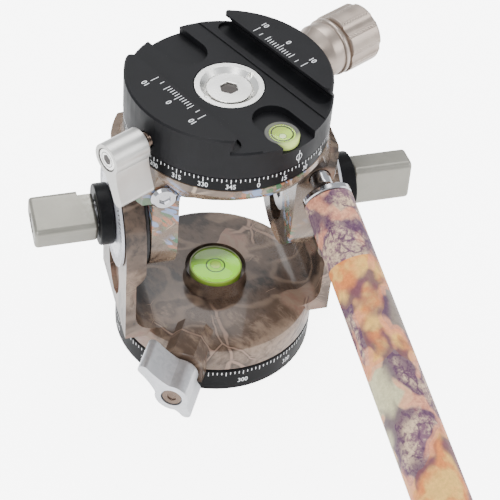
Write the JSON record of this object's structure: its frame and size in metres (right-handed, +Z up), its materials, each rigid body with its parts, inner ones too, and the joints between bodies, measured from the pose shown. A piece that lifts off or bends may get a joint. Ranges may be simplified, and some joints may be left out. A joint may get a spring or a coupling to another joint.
{
  "type": "two-way monopod head",
  "caption": "Two-way monopod head: panning base, tilting saddle with pan handle, and a panning dovetail clamp with lock knobs and bubble levels.",
  "frame": {"origin": "middle of the base's underside, on the pan axis", "axes": "+Z up along the pan axis, +X along the tilt axis to the handle's side, -Y towards the handle"},
  "size_m": [0.1159, 0.1981, 0.101],
  "materials": {
    "camo_lacquer": "glossy lacquered woodland pattern",
    "grip_sleeve": "satin sleeve with bark and leaf pattern",
    "black_anodised": "satin black anodised",
    "satin_alloy": "satin bead-blasted",
    "bright_plate": "polished plating",
    "steel": "turned",
    "brass": "turned",
    "polymer": "moulded, low friction",
    "dial_face": "pale satin plate with dark ticks",
    "level_cup": "moulded",
    "level_liquid": "clear lime liquid",
    "level_lens": "clear"
  },
  "bodies": {
    "base": {"base_ring": "black_anodised", "base_thread_bush": "brass", "pan_thrust_washer": "polymer", "pan_pivot_screw": "steel"},
    "yoke": {"yoke": "camo_lacquer", "pan_pivot_washer": "polymer", "left_axle_bush": "brass", "right_axle_bush": "brass", "tilt_dial": "dial_face", "right_cover_plate": "dial_face", "base_level_cup": "level_cup", "base_level_liquid": "level_liquid", "base_level_lens": "level_lens", "lower_lock_pad": "brass"},
    "lower_lock": {"lower_lock_knob": "satin_alloy", "lower_lock_cap": "steel", "lower_lock_stud": "steel"},
    "saddle": {"saddle": "camo_lacquer", "left_tilt_axle": "steel", "right_tilt_axle": "steel", "left_friction_washer": "polymer", "right_friction_washer": "polymer", "left_tilt_boss": "black_anodised", "right_tilt_boss": "black_anodised", "left_spring_washer": "steel", "right_spring_washer": "steel", "clamp_scale_ring": "black_anodised", "clamp_pan_hub": "steel", "blanking_plug": "bright_plate", "handle_neck": "bright_plate", "handle_rod": "steel", "handle_grip": "grip_sleeve", "handle_end_cap": "polymer"},
    "left_knob": {"left_tilt_knob": "satin_alloy", "left_knob_cap": "steel"},
    "right_knob": {"right_tilt_knob": "satin_alloy", "right_knob_cap": "steel"},
    "clamp": {"clamp_body": "black_anodised", "centre_insert": "bright_plate", "centre_screw": "steel", "clamp_level_cup": "level_cup", "clamp_level_liquid": "level_liquid", "clamp_level_lens": "level_lens", "upper_lock_pad": "brass", "left_guide_pin": "steel", "right_guide_pin": "steel", "left_jaw_spring": "steel", "right_jaw_spring": "steel"},
    "upper_lock": {"upper_lock_knob": "satin_alloy", "upper_lock_cap": "steel", "upper_lock_stud": "steel"},
    "moving_jaw": {"moving_jaw": "black_anodised"},
    "jaw_knob": {"jaw_knob": "satin_alloy", "jaw_screw": "steel", "jaw_knob_cap": "steel", "jaw_knob_washer": "brass"}
  },
  "joints": [
    {"name": "base_pan", "type": "hinge", "parent": "base", "child": "yoke", "pos_m": [0, 0, 0.0097], "axis": [0, 0, 1], "continuous": true},
    {"name": "lower_lock_turn", "type": "hinge", "parent": "yoke", "child": "lower_lock", "pos_m": [-0.01802, -0.03186, 0.0141], "axis": [-0.4924, -0.8704, 0], "range_deg": [-30, 70]},
    {"name": "tilt", "type": "hinge", "parent": "yoke", "child": "saddle", "pos_m": [0, 0, 0.053], "axis": [1, 0, 0], "range_deg": [-70, 50]},
    {"name": "left_knob_turn", "type": "hinge", "parent": "saddle", "child": "left_knob", "pos_m": [-0.0385, 0, 0.053], "axis": [-1, 0, 0], "range_deg": [0, 270]},
    {"name": "right_knob_turn", "type": "hinge", "parent": "saddle", "child": "right_knob", "pos_m": [0.0406, 0, 0.053], "axis": [1, 0, 0], "range_deg": [0, 270]},
    {"name": "clamp_pan", "type": "hinge", "parent": "saddle", "child": "clamp", "pos_m": [0, 0, 0.0879], "axis": [0, 0, 1], "continuous": true},
    {"name": "upper_lock_turn", "type": "hinge", "parent": "clamp", "child": "upper_lock", "pos_m": [-0.02848, -0.01414, 0.0916], "axis": [-0.8957, -0.4446, 0], "range_deg": [0, 80]},
    {"name": "jaw_slide", "type": "slide", "parent": "clamp", "child": "moving_jaw", "axis": [0.8957, 0.4446, 0], "range_m": [0, 0.003]},
    {"name": "jaw_knob_spin", "type": "hinge", "parent": "moving_jaw", "child": "jaw_knob", "pos_m": [0.0275, 0.01365, 0.0916], "axis": [0.8957, 0.4446, 0], "range_deg": [0, 1080]}
  ],
  "couplings": [
    {"joint": "jaw_knob_spin", "follows": "jaw_slide", "rad_per_m": 6283.2}
  ]
}
